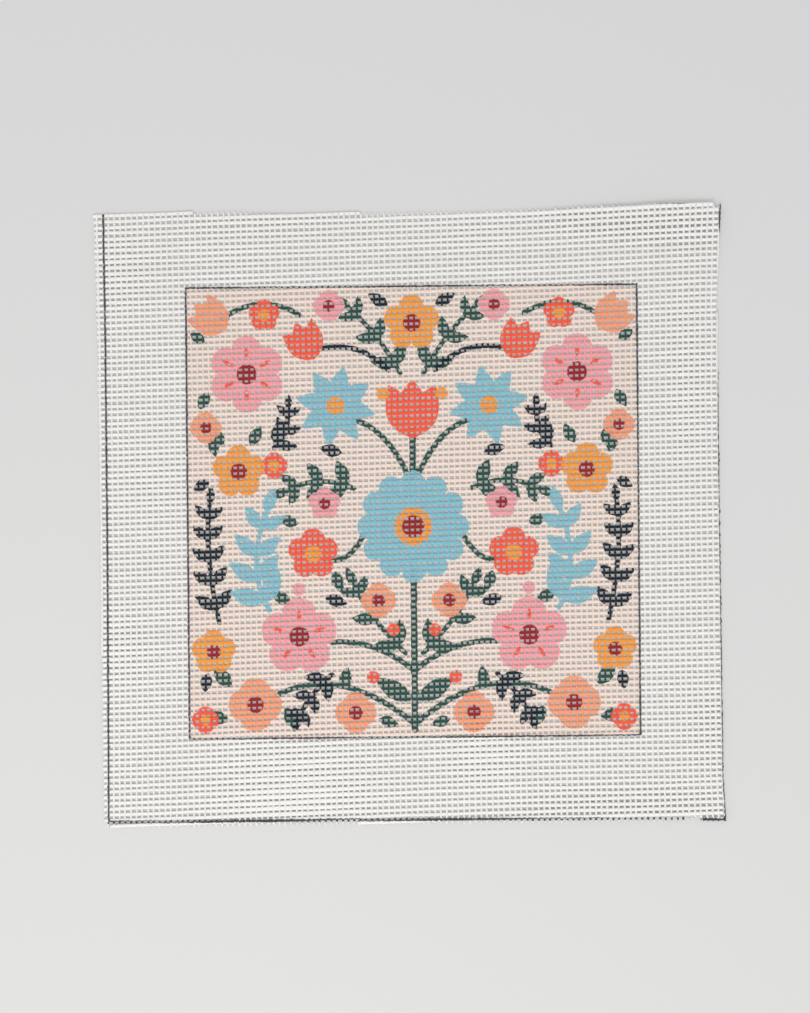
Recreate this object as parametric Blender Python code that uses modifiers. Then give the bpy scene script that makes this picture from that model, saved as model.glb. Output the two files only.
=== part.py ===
"""A square of stiff, open needlepoint canvas, cut by hand and lying face up, a little uneven on the table.

The cloth is one flat piece as thick as its two crossed sets of threads. Its four cut edges wander a little. It has
been rolled and doesn't lie quite flat: its margins rise off the table in low, broad swells of about a millimetre,
and its top edge lifts a millimetre and a half towards the right corner. No slope is steep enough to shorten the cloth.
"""

import bmesh
import bpy

MM = 0.001

# The weave sets every size: six inches of printed square, in a canvas of thirteen meshes to the inch.
MESHES_PER_INCH = 13
MESH_PITCH = 25.4 / MESHES_PER_INCH
CLOTH_THICKNESS = 1.2

COLUMNS = 48
ROWS = 40

# Cut edges, read along each edge in millimetres from the middle of the canvas: (along, across).
BOTTOM_EDGE = (
    (-104.2, -105.0),
    (-71.7, -104.8),
    (2.8, -104.4),
    (70.5, -104.3),
    (97.6, -103.9),
    (106.4, -104.6),
)
TOP_EDGE = (
    (-106.4, 103.0),
    (-61.4, 103.3),
    (-36.0, 102.7),
    (-2.2, 102.6),
    (41.9, 103.2),
    (65.6, 104.2),
    (92.6, 105.0),
    (106.2, 104.2),
)
LEFT_EDGE = (
    (-105.0, -104.2),
    (-61.5, -104.4),
    (6.2, -104.5),
    (40.0, -104.9),
    (90.8, -105.7),
    (103.0, -106.4),
)
RIGHT_EDGE = (
    (-104.6, 106.4),
    (-87.0, 105.7),
    (4.4, 105.4),
    (72.1, 105.0),
    (89.0, 105.6),
    (104.2, 106.2),
)

# Swells of the cloth off the table: middle (x, y), reach across and up to where each ends, and height, all in mm.
SWELLS = (
    {"x": 100.0, "y": 110.0, "across": 80.0, "up": 24.0, "height": 1.7},
    {"x": -50.0, "y": 108.0, "across": 46.0, "up": 20.0, "height": 0.9},
    {"x": -98.0, "y": 84.0, "across": 17.0, "up": 20.0, "height": 0.8},
    {"x": -104.0, "y": -44.0, "across": 22.0, "up": 20.0, "height": 0.8},
    {"x": -88.0, "y": 12.0, "across": 24.0, "up": 18.0, "height": 0.4},
    {"x": 95.0, "y": 47.0, "across": 10.0, "up": 56.0, "height": 0.8},
    {"x": 108.0, "y": -72.0, "across": 17.0, "up": 22.0, "height": 1.0},
    {"x": -40.0, "y": -94.0, "across": 42.0, "up": 34.0, "height": 1.2},
    {"x": 24.0, "y": -81.0, "across": 20.0, "up": 17.0, "height": 0.9},
    {"x": 72.0, "y": -108.0, "across": 62.0, "up": 20.0, "height": 1.3},
    {"x": 24.0, "y": 97.0, "across": 17.0, "up": 17.0, "height": 0.4},
    {"x": -60.0, "y": 85.0, "across": 17.0, "up": 15.0, "height": 0.4},
)


def along(edge, place):
    """Height of an edge's line at one place, straight between its readings and level past its ends."""
    if place <= edge[0][0]:
        return edge[0][1]
    for (start, low), (end, high) in zip(edge, edge[1:]):
        if place <= end:
            return low + (high - low) * (place - start) / (end - start)
    return edge[-1][1]


def lift(x, y):
    """Height of the cloth's underside off the table: each swell is a smooth dome that ends level at its reach."""
    height = 0.0
    for swell in SWELLS:
        away = ((x - swell["x"]) / swell["across"]) ** 2 + ((y - swell["y"]) / swell["up"]) ** 2
        height += swell["height"] * max(0.0, 1.0 - away) ** 2
    return height


def sheet_points():
    """Rows of points over the canvas: each column runs from the bottom cut to the top cut."""
    columns = []
    for column in range(COLUMNS + 1):
        share = column / COLUMNS
        low_x = BOTTOM_EDGE[0][0] + share * (BOTTOM_EDGE[-1][0] - BOTTOM_EDGE[0][0])
        high_x = TOP_EDGE[0][0] + share * (TOP_EDGE[-1][0] - TOP_EDGE[0][0])
        bottom = along(BOTTOM_EDGE, low_x)
        top = along(TOP_EDGE, high_x)
        points = []
        for row in range(ROWS + 1):
            y = bottom + (top - bottom) * row / ROWS
            left = along(LEFT_EDGE, y)
            right = along(RIGHT_EDGE, y)
            x = left + share * (right - left)
            points.append((x, y, lift(x, y)))
        columns.append(points)
    return columns


def canvas_mesh():
    """The cloth's underside as one mesh of quads, facing up."""
    columns = sheet_points()
    shape = bmesh.new()
    grid = [[shape.verts.new((x * MM, y * MM, z * MM)) for x, y, z in points] for points in columns]
    for left, right in zip(grid, grid[1:]):
        for row in range(len(left) - 1):
            shape.faces.new((left[row], right[row], right[row + 1], left[row + 1]))
    mesh = bpy.data.meshes.new("canvas")
    shape.to_mesh(mesh)
    shape.free()
    return mesh


def canvas_material():
    """Bare canvas: white sized cotton with a dull surface."""
    material = bpy.data.materials.new("sized_white_cotton")
    material.use_nodes = True
    shader = material.node_tree.nodes["Principled BSDF"]
    shader.inputs["Base Color"].default_value = (0.86, 0.82, 0.79, 1.0)
    shader.inputs["Roughness"].default_value = 0.8
    return material


def main():
    for old in list(bpy.data.objects):
        bpy.data.objects.remove(old, do_unlink=True)
    collection = bpy.data.collections.new("needlepoint_canvas_panel")
    bpy.context.scene.collection.children.link(collection)
    canvas = bpy.data.objects.new("canvas", canvas_mesh())
    collection.objects.link(canvas)
    canvas.data.materials.append(canvas_material())
    thickness = canvas.modifiers.new("cloth thickness", "SOLIDIFY")
    thickness.thickness = CLOTH_THICKNESS * MM
    thickness.offset = 1.0


main()
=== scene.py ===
"""A square of open needlepoint canvas, printed with flowers and lying face up, woven thread by thread."""

import bmesh
import bpy
import numpy as np
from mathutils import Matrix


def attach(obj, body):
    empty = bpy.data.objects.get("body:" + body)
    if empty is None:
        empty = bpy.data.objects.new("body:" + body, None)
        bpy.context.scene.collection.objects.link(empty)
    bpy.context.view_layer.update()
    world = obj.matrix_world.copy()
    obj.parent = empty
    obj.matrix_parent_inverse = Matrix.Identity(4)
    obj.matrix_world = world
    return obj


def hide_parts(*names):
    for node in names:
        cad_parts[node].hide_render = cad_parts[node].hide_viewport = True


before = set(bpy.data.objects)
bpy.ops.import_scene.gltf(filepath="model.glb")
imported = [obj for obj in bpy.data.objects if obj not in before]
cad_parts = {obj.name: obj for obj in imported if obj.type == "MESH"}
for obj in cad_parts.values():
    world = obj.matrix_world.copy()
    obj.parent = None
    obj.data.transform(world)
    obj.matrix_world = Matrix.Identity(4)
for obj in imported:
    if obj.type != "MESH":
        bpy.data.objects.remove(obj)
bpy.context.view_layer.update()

bl_info = {
    "name": "Needlepoint Canvas Panel",
    "version": (1, 0, 0),
    "blender": (4, 5, 0),
    "location": "3D View > Sidebar > Needlepoint",
    "description": "Weaves a printed square of needlepoint canvas and lays it on a pale table",
    "category": "Object",
}

MM = 0.001
# The distance in mm given to a place that no shape is near.
FAR = 99.0

# The weave, in millimetres. Thirteen meshes to the inch makes one mesh 25.4 / 13 = 1.954 mm. Level threads,
# the weft, are numbered up from the one through the middle, and they rise 1.5 degrees to the right because the cloth
# was cut and printed a little off its grain.
WEFT_PITCH = 1.95
WEFT_RISE = 0.0258
WEFT_MIDDLE = -0.40
# Upright threads are numbered from the printed line near the left cut. MESHES_TO_SQUARE further on is the square's left
# side, then MESHES_IN_SQUARE on its right side, and as many again as at the left the last thread, just inside the cut.
MESHES_TO_SQUARE = 14
MESHES_IN_SQUARE = 79
SQUARE_SIDES = (-75.12, 78.18)
LAST_THREAD_INSIDE = 0.2
# Thread numbers that are tried, in each set, and how far along it in the other set's numbers: well past every cut.
THREADS = {"upright": range(-3, 110), "level": range(-58, 58)}
CROSSINGS = {"upright": (-57.0, 57.0), "level": (-3.0, 111.0)}
# Interlock canvas: each upright thread is a pair of thin ends twisted round the thick, straight level threads. The
# ends lie side by side in the holes, "apart" either side of the pair's middle, and one over the other at a crossing,
# "wave" above and below the level thread's middle, which is MID_HEIGHT above the table.
MID_HEIGHT = 0.46
END = {"width": 0.44, "height": 0.30, "apart": 0.18, "wave": 0.30}
WEFT = {"width": 1.23, "height": 0.34}
# A thread's own wander: the height of its two waves in mm, then for each its length over two pi in mm, and how many
# radians it is shifted from one thread to the next.
SWAY = 0.05
SWAY_WAVES = ((11.0, 2.4), (4.7, 4.1))
# Level threads are lost from this much of the bottom cut, in mm, which leaves a short fringe of upright ends.
FRINGE = 0.5
# The cuts, in meshes: the step in which they are looked for, how far scissors leave a thread past its cut or short of
# it, how near to a cut end no other ring is set, and the length below which a thread falls out.
CUT_STEP = 0.05
CUT_PAST = 0.12
CUT_SHORT = 0.1
RING_CLEAR = 0.15
SHORTEST = 0.7
# Threads are tubes of six-sided rings, dealt out in turn to the pieces.
RINGS_PER_MESH = 2
SIDES = 6
PIECES = 5
# How much the sides of a thin end count as facing up, as ink runs down it more than down a thick level thread.
END_SIDES_UP = 0.35

# Cut edges, read along each edge in millimetres from the middle of the canvas: (along, across).
BOTTOM_EDGE = (
    (-104.2, -105.0),
    (-71.7, -104.8),
    (2.8, -104.4),
    (70.5, -104.3),
    (91.5, -104.2),
    (93.0, -103.2),
    (97.0, -103.2),
    (98.5, -104.3),
    (106.4, -104.6),
)
TOP_EDGE = (
    (-106.4, 103.0),
    (-61.4, 103.3),
    (-36.0, 102.7),
    (-2.2, 102.6),
    (41.9, 103.2),
    (65.6, 104.2),
    (92.6, 105.0),
    (106.2, 104.2),
)
LEFT_EDGE = (
    (-105.0, -104.2),
    (-61.5, -104.4),
    (6.2, -104.5),
    (40.0, -104.9),
    (90.8, -105.7),
    (103.0, -106.4),
)
RIGHT_EDGE = (
    (-104.6, 106.4),
    (-87.0, 105.7),
    (4.4, 105.4),
    (72.1, 105.0),
    (89.0, 105.6),
    (104.2, 106.2),
)
# Where the printed line beside the left cut runs: (height, across).
LEFT_LINE = ((-105.0, -102.6), (-14.0, -102.3), (63.7, -102.4), (102.0, -102.75))

# Swells of the cloth off the table: middle (x, y), reach across and up to where each ends, and height, all in mm. They
# lie where the part's do, but all except the lifted top edge are lower here, because an open net that stands off the
# table shows darker holes, and these holes are pale. Spread is the share by which level threads are wider there, which
# makes the holes smaller and paler. The last row only widens the threads along the top cut.
SWELLS = (
    {"x": 100.0, "y": 110.0, "across": 80.0, "up": 24.0, "height": 1.6, "spread": 0.0},
    {"x": -50.0, "y": 108.0, "across": 46.0, "up": 20.0, "height": 0.2, "spread": 0.12},
    {"x": -98.0, "y": 84.0, "across": 17.0, "up": 20.0, "height": 0.15, "spread": 0.22},
    {"x": -104.0, "y": -44.0, "across": 22.0, "up": 20.0, "height": 0.15, "spread": 0.25},
    {"x": -88.0, "y": 12.0, "across": 24.0, "up": 18.0, "height": 0.05, "spread": 0.16},
    {"x": 95.0, "y": 47.0, "across": 10.0, "up": 56.0, "height": 0.1, "spread": 0.18},
    {"x": 108.0, "y": -72.0, "across": 17.0, "up": 22.0, "height": 0.3, "spread": 0.1},
    {"x": -40.0, "y": -94.0, "across": 42.0, "up": 34.0, "height": 0.1, "spread": 0.38},
    {"x": 24.0, "y": -81.0, "across": 20.0, "up": 17.0, "height": 0.1, "spread": 0.34},
    {"x": 72.0, "y": -108.0, "across": 62.0, "up": 20.0, "height": 0.6, "spread": 0.1},
    {"x": 24.0, "y": 97.0, "across": 17.0, "up": 17.0, "height": 0.05, "spread": 0.15},
    {"x": -60.0, "y": 85.0, "across": 17.0, "up": 15.0, "height": 0.05, "spread": 0.1},
    {"x": 60.0, "y": 108.0, "across": 110.0, "up": 9.0, "height": 0.0, "spread": 0.4},
)

# Slow drifts of the weave, in the cloth's own plane: middle (x, y), reach across and up to where each ends, and how far
# it moves upright threads to the right and level threads up there, all in mm.
DRIFTS = (
    {"x": 50.0, "y": 0.0, "across": 90.0, "up": 150.0, "right": -0.66, "rise": 0.0},
    {"x": -60.0, "y": 120.0, "across": 90.0, "up": 80.0, "right": -0.45, "rise": 0.0},
    {"x": -50.0, "y": -120.0, "across": 90.0, "up": 80.0, "right": -0.8, "rise": 0.0},
    {"x": -30.0, "y": 0.0, "across": 50.0, "up": 60.0, "right": -0.39, "rise": 0.0},
    {"x": 30.0, "y": 110.0, "across": 80.0, "up": 60.0, "right": -0.34, "rise": 0.0},
    {"x": 105.0, "y": 72.0, "across": 40.0, "up": 34.0, "right": 0.33, "rise": 0.0},
    {"x": 0.0, "y": -50.0, "across": 110.0, "up": 90.0, "right": 0.0, "rise": 0.55},
    {"x": 115.0, "y": 110.0, "across": 80.0, "up": 90.0, "right": 0.0, "rise": 0.78},
    {"x": 115.0, "y": -110.0, "across": 80.0, "up": 90.0, "right": 0.0, "rise": -0.64},
    {"x": -75.0, "y": 110.0, "across": 60.0, "up": 40.0, "right": 0.0, "rise": 0.21},
)

# The printed square, in millimetres, as its middle and half its side.
SQUARE_MIDDLE = (1.42, 1.33)
SQUARE_HALF = 76.4
# The line printed outside it to cut along, as (along, across). On the left and at the bottom it is whole. On the right
# it runs this far beyond the last thread, so that only its inner edge shows, or nothing where the scissors took it. At
# the top only dots of it are left, near the right corner.
BOTTOM_LINE = ((-102.8, -103.0), (2.8, -102.95), (30.0, -103.15), (90.8, -103.35), (105.7, -103.95))
TOP_LINE = ((60.0, 106.5), (83.0, 105.9), (85.5, 104.95), (94.0, 104.95), (97.0, 105.9))
BEYOND_LAST_THREAD = (
    (-105.0, 0.25),
    (-60.0, 0.15),
    (-10.0, 0.1),
    (20.0, 0.1),
    (40.0, 0.25),
    (60.0, 0.8),
    (93.0, 0.8),
    (98.0, 0.1),
)
LINE_WIDTH = 0.68
# The bottom cutting line is fuller, wider by this.
BOTTOM_LINE_EXTRA = 0.45


def linear(hexes):
    """A colour given as sRGB hex, as the linear light that shaders take: 12.92 below the knee, a 2.4 power above."""
    srgb = np.array([int(hexes[k : k + 2], 16) for k in (1, 3, 5)]) / 255.0
    light = np.where(srgb <= 0.04045, srgb / 12.92, ((srgb + 0.055) / 1.055) ** 2.4)
    return tuple(float(c) for c in light)


# Printing inks on white cotton, each covering those before it. The ground fills the square, and the line is for the
# square's outline and the cutting line.
INKS = {
    "ground": linear("#F8E2D6"),
    "green": linear("#1D5047"),
    "navy": linear("#05202F"),
    "sky": linear("#86C4D5"),
    "pink": linear("#FDA7AE"),
    "peach": linear("#FFA47D"),
    "coral": linear("#FF5E42"),
    "yellow": linear("#FDA23F"),
    "burgundy": linear("#9C1E2C"),
    "line": linear("#45454E"),
}

# The shader, in millimetres: fibres from one to the next, a turn of the two plies, the height of the relief they make,
# how far the noise moves an ink's edge, half the width of that edge's fade, and how deep light spreads in cotton.
FIBRE_SPACING = 0.9
PLY_TURN = 0.9
RELIEF = 0.03
BLEED = 0.9
FADE = 0.12
GLOW_DEPTH = 0.4
# Share of the ink that shows, from a surface turned somewhat down to one that faces up.
SOAK = {"From Min": -0.35, "From Max": 0.7, "To Min": 0.15, "To Max": 1.0}

# The stage, in metres and degrees.
TABLE_HALF = 1.5
CAMERA_OVER = (-0.00133, 0.00309)
WINDOW = {"across": 0.4, "up": 0.3, "at": (-0.16, -0.52, 0.75), "tilt": 36.1, "turn": -16.8}


def table(columns, *rows):
    """A table's rows, each as a dictionary under the names of its columns."""
    return [dict(zip(columns, row)) for row in rows]


# The print. Places are millimetres from the middle of the printed square, x to the right and y up. The square
# is mirrored left and right: a row whose "both" is 1 is printed on both sides of the middle line.
# Stems are curves from a start to an end, pulled towards a bend.
STEMS = table(
    ("start", "bend", "end", "width", "ink", "both"),
    ((0, -74), (0, -50), (0, -20), 2.2, "green", 0),
    ((0, 12), (0, 20), (0, 28), 2.2, "green", 0),
    ((0, -54), (13, -43), (28, -44), 1.9, "green", 1),
    ((0, -72), (26, -50), (49, -63), 1.9, "green", 1),
    ((2, 13), (9, 28), (19, 31), 1.9, "green", 1),
    ((8, 48), (18, 59), (33, 55), 1.8, "navy", 1),
    ((38, 67), (51, 75), (64, 66), 1.8, "green", 1),
    ((17, -8), (22, -18), (30, -16), 1.8, "green", 1),
)
# Sprigs are stems with pairs of leaves, the lowest of the length in the leaf column.
SPRIGS = table(
    ("start", "bend", "end", "pairs", "leaf", "ink", "both"),
    ((66, -37), (71, -14), (69, 3), 5, 9.0, "navy", 1),
    ((49, -33), (57, -20), (50, 0), 4, 13.0, "sky", 1),
    ((3, -48), (15, -36), (20, -25), 3, 10.0, "green", 1),
    ((4, 47), (11, 60), (21, 69), 3, 9.5, "green", 1),
    ((47, 22), (42, 26), (42, 35), 3, 7.6, "navy", 1),
    ((28, -55), (36, -62), (39, -69), 3, 8.5, "navy", 1),
    ((20, 8), (31, 13), (42, 8), 3, 10.0, "green", 1),
)
# Leaves grow from their foot, turned this many degrees from the right.
LEAVES = table(
    ("at", "length", "turn", "width", "ink", "both"),
    ((1, -64), 15.0, 32, 6.2, "green", 1),
    ((44, -66), 9.0, -120, 4.6, "green", 1),
    ((63, -70), 9.0, 10, 4.6, "green", 1),
    ((62, -59), 9.5, 48, 4.8, "green", 1),
    ((24, -60), 8.0, 100, 4.2, "green", 1),
    ((12, -70), 7.0, 200, 3.8, "green", 1),
    ((69, 11), 6.5, -30, 3.8, "navy", 1),
    ((55, 23), 7.5, 120, 4.2, "green", 1),
    ((64, 23), 7.5, 55, 4.2, "green", 1),
    ((8, 70), 8.0, 30, 4.2, "navy", 1),
    ((69, 41), 7.0, -60, 4.0, "green", 1),
    ((68, 26), 7.0, -100, 4.0, "green", 1),
    ((48, -27), 8.0, 210, 4.2, "green", 1),
    ((30, -29), 8.0, 195, 4.2, "navy", 1),
    ((70, 58), 6.0, 30, 3.8, "green", 1),
    ((39, -4), 7.0, 20, 4.0, "green", 1),
    ((27, -20), 7.5, 250, 4.0, "green", 1),
    ((24, 20), 8.0, 15, 4.2, "navy", 1),
    ((70, -54), 7.0, -80, 4.0, "navy", 1),
)
# Flowers have a round eye of a second ink, with its radius in the pip column. At a radius of 0 the eye stands alone.
FLOWERS = table(
    ("at", "radius", "petals", "notch", "ink", "eye", "pip", "both"),
    ((0, -5), 19.0, 12, 0.2, "sky", "yellow", 6.4, 0),
    ((0, -5), 0.0, 5, 0.3, "sky", "burgundy", 3.8, 0),
    ((39, -42), 13.0, 5, 0.3, "pink", "burgundy", 3.4, 1),
    ((56, 47), 13.0, 6, 0.28, "pink", "burgundy", 3.4, 1),
    ((59, 14), 9.0, 5, 0.32, "yellow", "burgundy", 2.8, 1),
    ((0, 64), 9.5, 5, 0.32, "yellow", "burgundy", 3.0, 0),
    ((68, -47), 7.6, 5, 0.3, "yellow", "burgundy", 2.4, 1),
    ((54, -65), 9.0, 4, 0.22, "peach", "burgundy", 2.8, 1),
    ((20, -68), 7.0, 4, 0.22, "peach", "burgundy", 2.4, 1),
    ((12, -30), 6.0, 4, 0.22, "peach", "burgundy", 2.2, 1),
    ((34, -14), 8.6, 5, 0.3, "coral", "yellow", 2.8, 1),
    ((30, 3), 5.6, 5, 0.28, "pink", "burgundy", 2.0, 1),
    ((47, 16), 4.6, 4, 0.2, "coral", "yellow", 1.8, 1),
    ((28, 70), 5.4, 4, 0.2, "pink", "burgundy", 2.0, 1),
    ((70, 29), 5.4, 4, 0.2, "peach", "burgundy", 2.0, 1),
    ((50, 67), 5.4, 5, 0.28, "coral", "yellow", 2.0, 1),
    ((71, -70), 4.6, 4, 0.2, "coral", "yellow", 1.8, 1),
    ((39, -26), 0.0, 4, 0.2, "pink", "pink", 2.2, 1),
    ((7, -40), 0.0, 4, 0.2, "coral", "coral", 2.2, 1),
    ((14, -56), 0.0, 4, 0.2, "coral", "coral", 2.2, 1),
    ((10, 40), 0.0, 4, 0.2, "yellow", "yellow", 2.2, 1),
)
DAISIES = table(
    ("at", "radius", "petals", "turn", "ink", "eye", "both"),
    ((26, 36), 14.0, 8, 12, "sky", "yellow", 1),
)
TULIPS = table(
    ("at", "height", "turn", "ink", "both"),
    ((0, 25), 20.0, 90, "coral", 0),
    ((33, 52), 14.0, 62, "coral", 1),
    ((63, 62), 14.0, 40, "peach", 1),
)
PETAL_STREAKS = table(
    ("at", "petals", "start", "length", "ink", "both"),
    ((39, -42), 5, 4.8, 5.0, "coral", 1),
    ((56, 47), 6, 4.8, 5.0, "coral", 1),
)


def turned(x, y, at, turn):
    """Places in a motif's own frame: moved so that its middle is the origin, then turned back by its angle."""
    c, s = np.cos(np.radians(turn)), np.sin(np.radians(turn))
    return (x - at[0]) * c + (y - at[1]) * s, (y - at[1]) * c - (x - at[0]) * s


def blossom(x, y, at, radius, petals, notch):
    """Round petals: the edge's radius falls by notch between petals, as the root of a rectified cosine.

    Distances are cut to 0.9 of those from the middle, because the edge slants.
    """
    u, v = turned(x, y, at, 90.0)
    edge = radius * (1.0 - notch + notch * np.sqrt(np.abs(np.cos(0.5 * petals * np.arctan2(v, u)))))
    return 0.9 * (np.hypot(u, v) - edge)


def leaf(x, y, at, length, turn, width):
    """An almond from its foot along its angle: half its width is a sine of the way along, fullest before the middle."""
    u, v = turned(x, y, at, turn)
    share = np.clip(u / length, 0.0, 1.0)
    side = np.abs(v) - 0.5 * width * np.sin(np.pi * share**0.85)
    return np.hypot(u - share * length, np.maximum(side, 0.0)) + np.minimum(side, 0.0)


def curve_points(start, bend, end, t):
    """A quadratic curve: squares and product of the shares of the way from each end, times its three points."""
    t = np.asarray(t, float)[:, None]
    return (1 - t) ** 2 * np.array(start) + 2 * t * (1 - t) * np.array(bend) + t * t * np.array(end)


def stroke(x, y, start, bend, end, width):
    """A drawn line: the distance to the nearest of twelve straight runs along its curve, less half its width."""
    line = curve_points(start, bend, end, np.linspace(0.0, 1.0, 13))
    best = np.full(np.shape(x), FAR)
    for first, last in zip(line, line[1:]):
        run = last - first
        share = np.clip(((x - first[0]) * run[0] + (y - first[1]) * run[1]) / (run @ run), 0.0, 1.0)
        best = np.minimum(best, np.hypot(x - first[0] - share * run[0], y - first[1] - share * run[1]))
    return best - 0.5 * width


def sprig(x, y, start, bend, end, pairs, length):
    """A stem 1.7 mm wide, with leaves in pairs at 48 degrees to it and one at its tip.

    The pairs stand from 0.1 to 0.86 of its way. Leaves are 0.48 as wide as long, and shorter by 0.3 of the way up.
    """
    shape = stroke(x, y, start, bend, end, 1.7)
    places = np.append(0.1 + 0.76 * np.arange(pairs) / (pairs - 1), 1.0)
    feet = curve_points(start, bend, end, places)
    ahead = curve_points(start, bend, end, places + 0.01) - feet
    for share, foot, way in zip(places, feet, ahead):
        heading = np.degrees(np.arctan2(way[1], way[0]))
        size = length * (1.0 - 0.3 * share)
        for lean in (0.0,) if share == 1.0 else (48.0, -48.0):
            shape = np.minimum(shape, leaf(x, y, foot, size, heading + lean, 0.48 * size))
    return shape


def daisy(x, y, at, radius, petals, turn):
    """Pointed petals: one leaf from the middle for each petal, evenly turned and 0.46 as wide as long."""
    turns = turn + 360.0 * np.arange(petals) / petals
    return np.minimum.reduce([leaf(x, y, at, radius, each, 0.46 * radius) for each in turns])


def tulip(x, y, at, height, turn):
    """A cup of three pointed petals from one foot: one upright and one leaning 24 degrees to each side."""
    petals = ((0.0, 0.62), (24.0, 0.5), (-24.0, 0.5))
    return np.minimum.reduce([leaf(x, y, at, height, turn + lean, height * full) for lean, full in petals])


def inked_shapes():
    """Each printed shape as its ink and the function of place that gives how far outside it a place is."""
    shapes = []

    def add(row, shape, ink="ink"):
        """Adds one shape, in the ink that its row names in that column."""
        shapes.append((row[ink], row["both"], shape))

    for r in STEMS:
        add(r, lambda x, y, r=r: stroke(x, y, r["start"], r["bend"], r["end"], r["width"]))
    for r in SPRIGS:
        add(r, lambda x, y, r=r: sprig(x, y, r["start"], r["bend"], r["end"], r["pairs"], r["leaf"]))
    for r in LEAVES:
        add(r, lambda x, y, r=r: leaf(x, y, r["at"], r["length"], r["turn"], r["width"]))
    for r in TULIPS:
        add(r, lambda x, y, r=r: tulip(x, y, r["at"], r["height"], r["turn"]))
    for r in FLOWERS:
        if r["radius"]:
            add(r, lambda x, y, r=r: blossom(x, y, r["at"], r["radius"], r["petals"], r["notch"]))
        add(r, lambda x, y, r=r: np.hypot(x - r["at"][0], y - r["at"][1]) - r["pip"], "eye")
    for r in DAISIES:
        add(r, lambda x, y, r=r: daisy(x, y, r["at"], r["radius"], r["petals"], r["turn"]))
        add(r, lambda x, y, r=r: np.hypot(x - r["at"][0], y - r["at"][1]) - 0.22 * r["radius"], "eye")
    for r in PETAL_STREAKS:
        for n in range(r["petals"]):
            turn = 90.0 + 360.0 * n / r["petals"]
            foot = r["at"] + r["start"] * np.array((np.cos(np.radians(turn)), np.sin(np.radians(turn))))
            add(r, lambda x, y, r=r, foot=foot, turn=turn: leaf(x, y, foot, r["length"], turn, 1.5))
    return shapes


def print_fields(x, y):
    """How far each place is outside each motif ink, in mm, below zero inside: the least over that ink's shapes."""
    u, v = x - SQUARE_MIDDLE[0], y - SQUARE_MIDDLE[1]
    fields = {ink: np.full(np.shape(x), FAR) for ink in INKS if ink not in ("ground", "line")}
    for ink, both, shape in inked_shapes():
        found = shape(u, v)
        if both:
            found = np.minimum(found, shape(-u, v))
        fields[ink] = np.minimum(fields[ink], found)
    return fields


def along(edge, place):
    """An edge's line at many places: straight between its readings and level past its ends."""
    return np.interp(place, [row[0] for row in edge], [row[1] for row in edge])


def domes(rows, amount, x, y):
    """Sum of a table's smooth domes: each is its amount times the square of one less its share of the reach squared."""
    total = np.zeros(np.shape(x))
    for row in rows:
        away = ((x - row["x"]) / row["across"]) ** 2 + ((y - row["y"]) / row["up"]) ** 2
        total += row[amount] * np.maximum(0.0, 1.0 - away) ** 2
    return total


def warp_across(number, y):
    """Where an upright thread stands at a height: evenly spaced in each margin and in the square."""
    left, right = along(LEFT_LINE, y), along(RIGHT_EDGE, y) - LAST_THREAD_INSIDE
    low, high = SQUARE_SIDES
    near, far = MESHES_TO_SQUARE, MESHES_TO_SQUARE + MESHES_IN_SQUARE
    outer_left = left + (low - left) * number / near
    inner = low + (high - low) * (number - near) / MESHES_IN_SQUARE
    outer_right = high + (right - high) * (number - far) / MESHES_TO_SQUARE
    return np.where(number < near, outer_left, np.where(number < far, inner, outer_right))


def weft_height(number, x):
    """How high up the cloth a level thread lies at a place across: evenly spaced, rising to the right."""
    return WEFT_MIDDLE + WEFT_PITCH * number + WEFT_RISE * x


def sway(thread, place):
    """How far a thread strays sideways: the sum of two slow sine waves, shifted from one thread to the next."""
    return SWAY * sum(np.sin(place / length + shift * thread) for length, shift in SWAY_WAVES)


def thread_centres(upright, thread, cross):
    """Places of a thread's middle in the flat cloth where it meets the other set's thread numbers, whole or not."""
    number, level = (thread, cross) if upright else (cross, thread)
    x = warp_across(number, weft_height(level, 0.0))
    y = weft_height(level, x)
    x = warp_across(number, y)
    right, rise = domes(DRIFTS, "right", x, y), domes(DRIFTS, "rise", x, y)
    if upright:
        return x + right + sway(thread, y), y + rise
    return x + right, y + rise + sway(thread + 0.5, x)


def inside_cut(x, y):
    """Whether each place of the flat cloth is within its four cut edges."""
    across = (x > along(LEFT_EDGE, y)) & (x < along(RIGHT_EDGE, y))
    return across & (y > along(BOTTOM_EDGE, x)) & (y < along(TOP_EDGE, x))


def thread_runs(upright, random):
    """Each length of thread left by the cut, as its number and the places of its rings along it."""
    kind = "upright" if upright else "level"
    fine = np.arange(*CROSSINGS[kind], CUT_STEP)
    for thread in THREADS[kind]:
        x, y = thread_centres(upright, float(thread), fine)
        inside = np.concatenate(([False], inside_cut(x, y if upright else y - FRINGE * (y < 0.0)), [False]))
        edges = np.flatnonzero(np.diff(inside.astype(int)))
        for first, last in zip(edges[::2], edges[1::2]):
            low = fine[first] + random.uniform(-CUT_PAST, CUT_SHORT)
            high = fine[last - 1] + random.uniform(-CUT_SHORT, CUT_PAST)
            rings = np.arange(np.ceil(low * RINGS_PER_MESH), high * RINGS_PER_MESH) / RINGS_PER_MESH
            rings = rings[(rings > low + RING_CLEAR) & (rings < high - RING_CLEAR)]
            if high - low > SHORTEST:
                yield thread, np.concatenate(([low], rings, [high]))


def woven_threads():
    """All rings of all threads: set, thread, run, place along it, whether another ring follows, and which end it is."""
    random = np.random.default_rng(7)
    parts = []
    run = 0
    for upright in (True, False):
        for thread, rings in thread_runs(upright, random):
            ones = np.ones(len(rings))
            follows = ones.copy()
            follows[-1] = 0.0
            for end in (1.0, -1.0) if upright else (0.0,):
                parts.append(np.stack((ones * upright, ones * thread, ones * run, rings, follows, ones * end), 1))
                run += 1
    return np.concatenate(parts)


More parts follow.
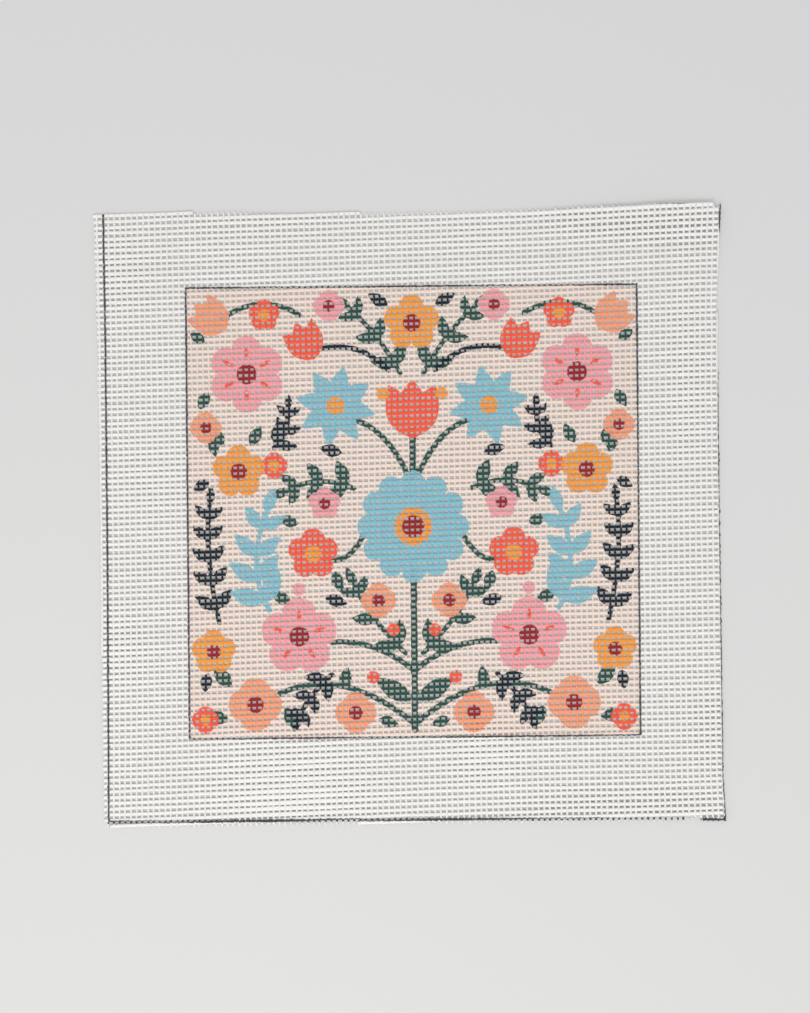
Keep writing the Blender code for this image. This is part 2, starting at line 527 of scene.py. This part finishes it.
def ring_shapes(rings):
    """Corners of every ring, a flattened hexagon across its thread, and how much each of its corners faces up.

    The two ends of a pair are half a turn apart on a spiral that turns once in two meshes: an end's height is a cosine
    of the level thread's number, over one and under the next, and its sideways place a sine. Its rings lean with the
    slope that this gives, the height's rate of change. Level threads are straight.
    """
    upright = rings[:, 0] > 0.5
    thread, cross = rings[:, 1], rings[:, 3]
    x = np.empty(len(rings))
    y = np.empty(len(rings))
    for of_set, mine in ((True, upright), (False, ~upright)):
        x[mine], y[mine] = thread_centres(of_set, thread[mine], cross[mine])
    phase = np.pi * cross
    end = rings[:, 5]
    x += end * END["apart"] * np.sin(phase)
    z = MID_HEIGHT + end * END["wave"] * np.cos(phase)
    lean = -end * 2.0 * END["wave"] / WEFT_PITCH * np.sin(phase)
    width = np.where(upright, END["width"], WEFT["width"] * (1.0 + domes(SWELLS, "spread", x, y)))
    height = np.where(upright, END["height"], WEFT["height"])
    angle = 2.0 * np.pi * np.arange(SIDES) / SIDES
    side = 0.5 * width[:, None] * np.cos(angle)
    up = 0.5 * height[:, None] * np.sin(angle) / np.sin(angle).max()
    tilt = np.hypot(1.0, lean)[:, None]
    ahead, lift = -up * lean[:, None] / tilt, up / tilt
    dx = np.where(upright[:, None], -side, ahead)
    dy = np.where(upright[:, None], ahead, side)
    points = np.stack((x[:, None] + dx, y[:, None] + dy, z[:, None] + lift), 2)
    of_end = END_SIDES_UP + (1.0 - END_SIDES_UP) * np.sin(angle)
    return points, np.where(upright[:, None], of_end, np.sin(angle))


def thread_faces(follows):
    """Quads of closed tubes: six between a ring and the next, and two that close each cut end."""
    first = np.arange(len(follows)) * SIDES
    linked = first[follows > 0.5][:, None]
    side = np.arange(SIDES)
    after = (side + 1) % SIDES
    walls = np.stack((linked + side, linked + after, linked + SIDES + after, linked + SIDES + side), 2).reshape(-1, 4)
    begins = np.concatenate(([True], follows[:-1] < 0.5))
    heads, tails = first[begins][:, None], first[follows < 0.5][:, None]
    back = np.concatenate((heads + (3, 2, 1, 0), heads + (5, 4, 3, 0)))
    front = np.concatenate((tails + (0, 1, 2, 3), tails + (0, 3, 4, 5)))
    return walls, back, front


def thread_maps(rings, faces_of):
    """Two maps for each face corner: millimetres and turns round the thread, and a place of its own for a bake.

    For the bake, each thread has an equal band of the unit square. Its walls fill the band's middle 0.76, from 0.01 to
    0.98 along, and its two cut ends have small squares beyond them, 0.005 wide.
    """
    walls, back, front = faces_of
    _, band = np.unique(rings[:, 2], return_inverse=True)
    bands = band.max() + 1
    place = rings[:, 3]
    low, high = place.min(), place.max()
    share = (place - low) / (high - low)
    ring = walls // SIDES
    corner_turns = np.array([0.0, 1.0, 1.0, 0.0])
    turn = np.tile(corner_turns, (len(walls), 1)) + np.tile(np.arange(SIDES), len(walls) // SIDES)[:, None]
    turn = turn / SIDES
    wall_mm = np.stack((place[ring] * WEFT_PITCH, turn), 2)
    wall_bake = np.stack((0.01 + 0.97 * share[ring], (band[ring] + 0.12 + 0.76 * turn) / bands), 2)
    caps = np.concatenate((back, front))
    corner = np.array([[0.0, 0.0], [1.0, 0.0], [1.0, 1.0], [0.0, 1.0]])
    count = np.arange(len(caps))[:, None]
    cap_u = 0.985 + 0.005 * (2 * (count >= len(back)) + 0.2 + 0.6 * corner[:, 0])
    cap_v = (band[caps[:, :1] // SIDES] + 0.2 + 0.3 * (count % 2) + 0.25 * corner[:, 1]) / bands
    cap_mm = np.stack((place[caps // SIDES] * WEFT_PITCH, np.zeros(caps.shape)), 2)
    bake = np.concatenate((wall_bake, np.stack((cap_u, cap_v), 2)))
    return np.concatenate((wall_mm, cap_mm)), bake


def line_distances(x, y):
    """Signed distances in mm to the printed square's outline and to the cutting line, below zero inside."""
    square = np.maximum(np.abs(x - SQUARE_MIDDLE[0]), np.abs(y - SQUARE_MIDDLE[1])) - SQUARE_HALF
    left = along(LEFT_LINE, y) - x
    right = x - (along(RIGHT_EDGE, y) - LAST_THREAD_INSIDE + along(BEYOND_LAST_THREAD, y))
    bottom = along(BOTTOM_LINE, x) - y
    bottom = np.sign(bottom) * np.maximum(np.abs(bottom) - 0.5 * BOTTOM_LINE_EXTRA, 0.0)
    top = y - along(TOP_LINE, x)
    return square, np.maximum(np.maximum(left, right), np.maximum(bottom, top))


def canvas_piece(name, rings, material):
    """One share of the canvas's threads as one mesh, with the print's distances on its points.

    The tint is a number from 0 to 1 for each thread: what follows the point in a large multiple of a sine of its run.
    """
    points, faces_up = ring_shapes(rings)
    faces_of = thread_faces(rings[:, 4])
    faces = np.concatenate(faces_of)
    flat = points.reshape(-1, 3)
    x, y = flat[:, 0], flat[:, 1]
    raised = np.stack((x, y, flat[:, 2] + domes(SWELLS, "height", x, y)), 1)
    mesh = bpy.data.meshes.new(name)
    mesh.vertices.add(len(flat))
    mesh.vertices.foreach_set("co", (raised * MM).astype(np.float32).ravel())
    mesh.loops.add(faces.size)
    mesh.loops.foreach_set("vertex_index", faces.astype(np.int32).ravel())
    mesh.polygons.add(len(faces))
    mesh.polygons.foreach_set("loop_start", np.arange(0, faces.size, 4, dtype=np.int32))
    mesh.update(calc_edges=True)
    mesh.polygons.foreach_set("use_smooth", np.ones(len(faces), bool))
    millimetres, bake = thread_maps(rings, faces_of)
    for layer, places in (("thread", millimetres), ("OFBake", bake)):
        mesh.uv_layers.new(name=layer).uv.foreach_set("vector", places.astype(np.float32).ravel())
    values = print_fields(x, y)
    values["ground"], values["cutting_line"] = line_distances(x, y)
    values["faces_up"] = faces_up.ravel()
    values["tint"] = np.repeat(np.modf(np.abs(np.sin(rings[:, 2] * 12.9898)) * 43758.5)[0], SIDES)
    for key, value in values.items():
        mesh.attributes.new(key, "FLOAT", "POINT").data.foreach_set("value", np.asarray(value, np.float32))
    mesh.materials.append(material)
    mesh.validate()
    piece = bpy.data.objects.new(name, mesh)
    bpy.context.scene.collection.objects.link(piece)
    return piece


def add_node(tree, kind, inputs=(), **settings):
    """Adds one node: settings are its properties, and inputs gives sockets a value or another node's output."""
    made = tree.nodes.new(kind)
    for key, value in settings.items():
        setattr(made, key, value)
    for socket, value in dict(inputs).items():
        if isinstance(value, bpy.types.NodeSocket):
            tree.links.new(value, made.inputs[socket])
        else:
            made.inputs[socket].default_value = value
    return made


def new_material(name):
    """An empty node material, its tree, and the output that gives places on the object, in metres."""
    material = bpy.data.materials.new(name)
    material.use_nodes = True
    tree = material.node_tree
    tree.nodes.clear()
    return material, tree, add_node(tree, "ShaderNodeTexCoord").outputs["Object"]


def opaque(colour, share=1.0):
    """A colour as shader sockets take it, times a share of its light."""
    return tuple(share * c for c in colour) + (1.0,)


def mixed(tree, share, under, over):
    """The output of a mix: the colour under at a share of 0, the colour over at 1."""
    return add_node(tree, "ShaderNodeMix", {"Factor": share, 6: under, 7: over}, data_type="RGBA").outputs[2]


def printed_cotton(settings):
    """Plied cotton thread, sized stiff and printed with pigment ink.

    Size gives the bare thread a clean, barely glossy white. Ink sits on what faces the printer, so it is full on top
    of a thread and thins to a stain beneath it. Its edge wanders a fraction of a millimetre along the fibres.
    """
    material, tree, places = new_material("sized_cotton_thread_printed")

    def carried(name):
        """A number that the mesh carries at each of its points."""
        return add_node(tree, "ShaderNodeAttribute", attribute_name=name).outputs["Fac"]

    def reckoned(operation, *values):
        """The output of one Math node."""
        return add_node(tree, "ShaderNodeMath", dict(enumerate(values)), operation=operation).outputs["Value"]

    tint = carried("tint")
    faces_up = carried("faces_up")
    # Real fibres are far finer. These are as coarse as they must be to show at this size.
    noise = {"Vector": places, "Scale": 1.0 / (FIBRE_SPACING * MM), "Detail": 2.0, "Roughness": 0.6}
    fibres = add_node(tree, "ShaderNodeTexNoise", noise).outputs["Fac"]
    bleed = reckoned("MULTIPLY", reckoned("SUBTRACT", fibres, 0.5), BLEED)
    soak = add_node(tree, "ShaderNodeMapRange", {"Value": faces_up, **SOAK}).outputs["Result"]
    colour = mixed(tree, tint, opaque(settings.bare_cotton), opaque(settings.bare_cotton, 0.93))

    def printed_over(under, distance, ink):
        """Lays one ink over what is under it wherever its distance, with the bleed, is below zero."""
        fade = {"Value": reckoned("ADD", distance, bleed), "From Min": FADE, "From Max": -FADE}
        cover = add_node(tree, "ShaderNodeMapRange", fade).outputs["Result"]
        return mixed(tree, reckoned("MULTIPLY", cover, soak), under, opaque(ink))

    for ink in INKS:
        if ink != "line":
            colour = printed_over(colour, carried(ink), getattr(settings, ink))
    for outline in ("ground", "cutting_line"):
        beside = reckoned("SUBTRACT", reckoned("ABSOLUTE", carried(outline)), 0.5 * settings.line_width / MM)
        colour = printed_over(colour, beside, settings.line)
    # Two plies twisted together: a sine of twice the turns round the thread plus the turns along it, in radians.
    thread_map = add_node(tree, "ShaderNodeUVMap", uv_map="thread").outputs["UV"]
    split = add_node(tree, "ShaderNodeSeparateXYZ", {"Vector": thread_map}).outputs
    turns = reckoned("MULTIPLY_ADD", split["Y"], 2.0, reckoned("MULTIPLY", split["X"], 1.0 / PLY_TURN))
    plies = reckoned("SINE", reckoned("MULTIPLY", turns, 6.28318))
    relief = {"Strength": 0.5, "Distance": RELIEF * MM, "Height": reckoned("MULTIPLY_ADD", fibres, 0.6, plies)}
    bump = add_node(tree, "ShaderNodeBump", relief).outputs["Normal"]
    cotton = {
        "Base Color": colour,
        "Roughness": 0.72,
        "IOR": 1.5,
        "Specular IOR Level": 0.2,
        "Normal": bump,
        "Subsurface Weight": 0.5,
        "Subsurface Radius": (1.0, 1.0, 1.0),
        "Subsurface Scale": GLOW_DEPTH * MM,
    }
    shader = add_node(tree, "ShaderNodeBsdfPrincipled", cotton)
    add_node(tree, "ShaderNodeOutputMaterial", {"Surface": shader.outputs["BSDF"]})
    return material


def table_card(settings):
    """Matt white card: no gloss, and a hardly visible mottle from its pulp, about a millimetre from mark to mark."""
    material, tree, places = new_material("matt_white_card")
    pulp = add_node(tree, "ShaderNodeTexNoise", {"Vector": places, "Scale": 900.0, "Detail": 3.0}).outputs["Fac"]
    colour = mixed(tree, pulp, opaque(settings.card), opaque(settings.card, 0.96))
    shader = add_node(tree, "ShaderNodeBsdfPrincipled", {"Base Color": colour, "Roughness": 0.9, "IOR": 1.45})
    add_node(tree, "ShaderNodeOutputMaterial", {"Surface": shader.outputs["BSDF"]})
    return material


def colour_property(label, description, default):
    """A colour that can be picked in the panel."""
    return bpy.props.FloatVectorProperty(
        name=label, description=description, subtype="COLOR", size=3, min=0.0, max=1.0, default=default
    )


def ink_property(name, label):
    """A colour property for one printing ink."""
    return colour_property(label, f"Printed colour: {label.lower()}", INKS[name])


class CanvasSettings(bpy.types.PropertyGroup):
    """Sizes and colours of the canvas."""

    line_width: bpy.props.FloatProperty(
        name="Line width", description="Width of the printed outlines", unit="LENGTH", default=LINE_WIDTH * MM
    )
    bare_cotton: colour_property("Bare cotton", "Colour of the unprinted thread", linear("#FBF8F4"))
    ground: ink_property("ground", "Ground")
    green: ink_property("green", "Leaf green")
    navy: ink_property("navy", "Navy")
    sky: ink_property("sky", "Sky blue")
    pink: ink_property("pink", "Pink")
    peach: ink_property("peach", "Peach")
    coral: ink_property("coral", "Coral")
    yellow: ink_property("yellow", "Golden yellow")
    burgundy: ink_property("burgundy", "Burgundy")
    line: ink_property("line", "Outline")


class StageSettings(bpy.types.PropertyGroup):
    """The table, the light and the camera."""

    card: colour_property("Card", "Colour of the pale table", linear("#DBDBDB"))
    camera_height: bpy.props.FloatProperty(
        name="Camera height", description="Height of the camera above the table", unit="LENGTH", default=0.4774
    )
    camera_turn: bpy.props.FloatProperty(
        name="Camera turn",
        description="Turn of the picture about the line of sight",
        subtype="ANGLE",
        default=float(np.radians(-0.5)),
    )
    window_power: bpy.props.FloatProperty(
        name="Window light", description="Power of the large soft light on the near side", default=2.75, min=0.0
    )
    room_light: bpy.props.FloatProperty(
        name="Room light", description="Strength of the even light from all round", default=0.82, min=0.0
    )


class NEEDLEPOINT_OT_weave(bpy.types.Operator):
    """Weave the canvas's threads and print them."""

    bl_idname = "needlepoint.weave"
    bl_label = "Weave Canvas"

    def execute(self, context):
        rings = woven_threads()
        material = printed_cotton(context.scene.needlepoint_canvas)
        shares = [
            canvas_piece(f"canvas_threads_{n + 1}", rings[rings[:, 2] % PIECES == n], material) for n in range(PIECES)
        ]
        for piece in shares:
            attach(piece, "root")
            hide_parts("canvas")
        return {"FINISHED"}


class NEEDLEPOINT_OT_stage(bpy.types.Operator):
    """Lay the pale table, light it softly and set the camera straight above."""

    bl_idname = "needlepoint.stage"
    bl_label = "Set Stage"

    def execute(self, context):
        settings = context.scene.needlepoint_stage
        mesh = bpy.data.meshes.new("table")
        shape = bmesh.new()
        bmesh.ops.create_grid(shape, x_segments=1, y_segments=1, size=TABLE_HALF)
        shape.to_mesh(mesh)
        shape.free()
        table = bpy.data.objects.new("table", mesh)
        table.data.materials.append(table_card(settings))
        context.scene.collection.objects.link(table)

        camera = bpy.data.objects.new("camera", bpy.data.cameras.new("camera"))
        camera.data.sensor_fit = "VERTICAL"
        camera.data.sensor_height = 36.0
        camera.data.lens = 50.0
        camera.location = (*CAMERA_OVER, settings.camera_height)
        camera.rotation_euler = (0.0, 0.0, settings.camera_turn)
        context.scene.collection.objects.link(camera)
        context.scene.camera = camera

        window = bpy.data.objects.new("window", bpy.data.lights.new("window", "AREA"))
        window.data.shape = "RECTANGLE"
        window.data.size = WINDOW["across"]
        window.data.size_y = WINDOW["up"]
        window.data.energy = settings.window_power
        window.data.color = linear("#FFFBF5")
        window.location = WINDOW["at"]
        window.rotation_euler = (np.radians(WINDOW["tilt"]), 0.0, np.radians(WINDOW["turn"]))
        context.scene.collection.objects.link(window)

        world = bpy.data.worlds.new("room")
        world.use_nodes = True
        room = world.node_tree.nodes["Background"]
        room.inputs["Color"].default_value = opaque(linear("#FAFBFC"))
        room.inputs["Strength"].default_value = settings.room_light
        context.scene.world = world
        context.scene.view_settings.view_transform = "Standard"
        return {"FINISHED"}


class NEEDLEPOINT_PT_panel(bpy.types.Panel):
    """Sidebar panel for the canvas and its stage."""

    bl_idname = "NEEDLEPOINT_PT_panel"
    bl_label = "Needlepoint Canvas"
    bl_space_type = "VIEW_3D"
    bl_region_type = "UI"
    bl_category = "Needlepoint"

    def draw(self, context):
        layout = self.layout
        for group in (context.scene.needlepoint_canvas, context.scene.needlepoint_stage):
            for key in group.__annotations__:
                layout.prop(group, key)
        for operator in STEPS:
            layout.operator(operator.bl_idname)


STEPS = (NEEDLEPOINT_OT_weave, NEEDLEPOINT_OT_stage)
CLASSES = (CanvasSettings, StageSettings) + STEPS + (NEEDLEPOINT_PT_panel,)


def register():
    for each in CLASSES:
        bpy.utils.register_class(each)
    bpy.types.Scene.needlepoint_canvas = bpy.props.PointerProperty(type=CanvasSettings)
    bpy.types.Scene.needlepoint_stage = bpy.props.PointerProperty(type=StageSettings)


def unregister():
    del bpy.types.Scene.needlepoint_stage
    del bpy.types.Scene.needlepoint_canvas
    for each in reversed(CLASSES):
        bpy.utils.unregister_class(each)


def main():
    register()
    bpy.ops.needlepoint.weave()
    bpy.ops.needlepoint.stage()


if __name__ == "__main__":
    main()
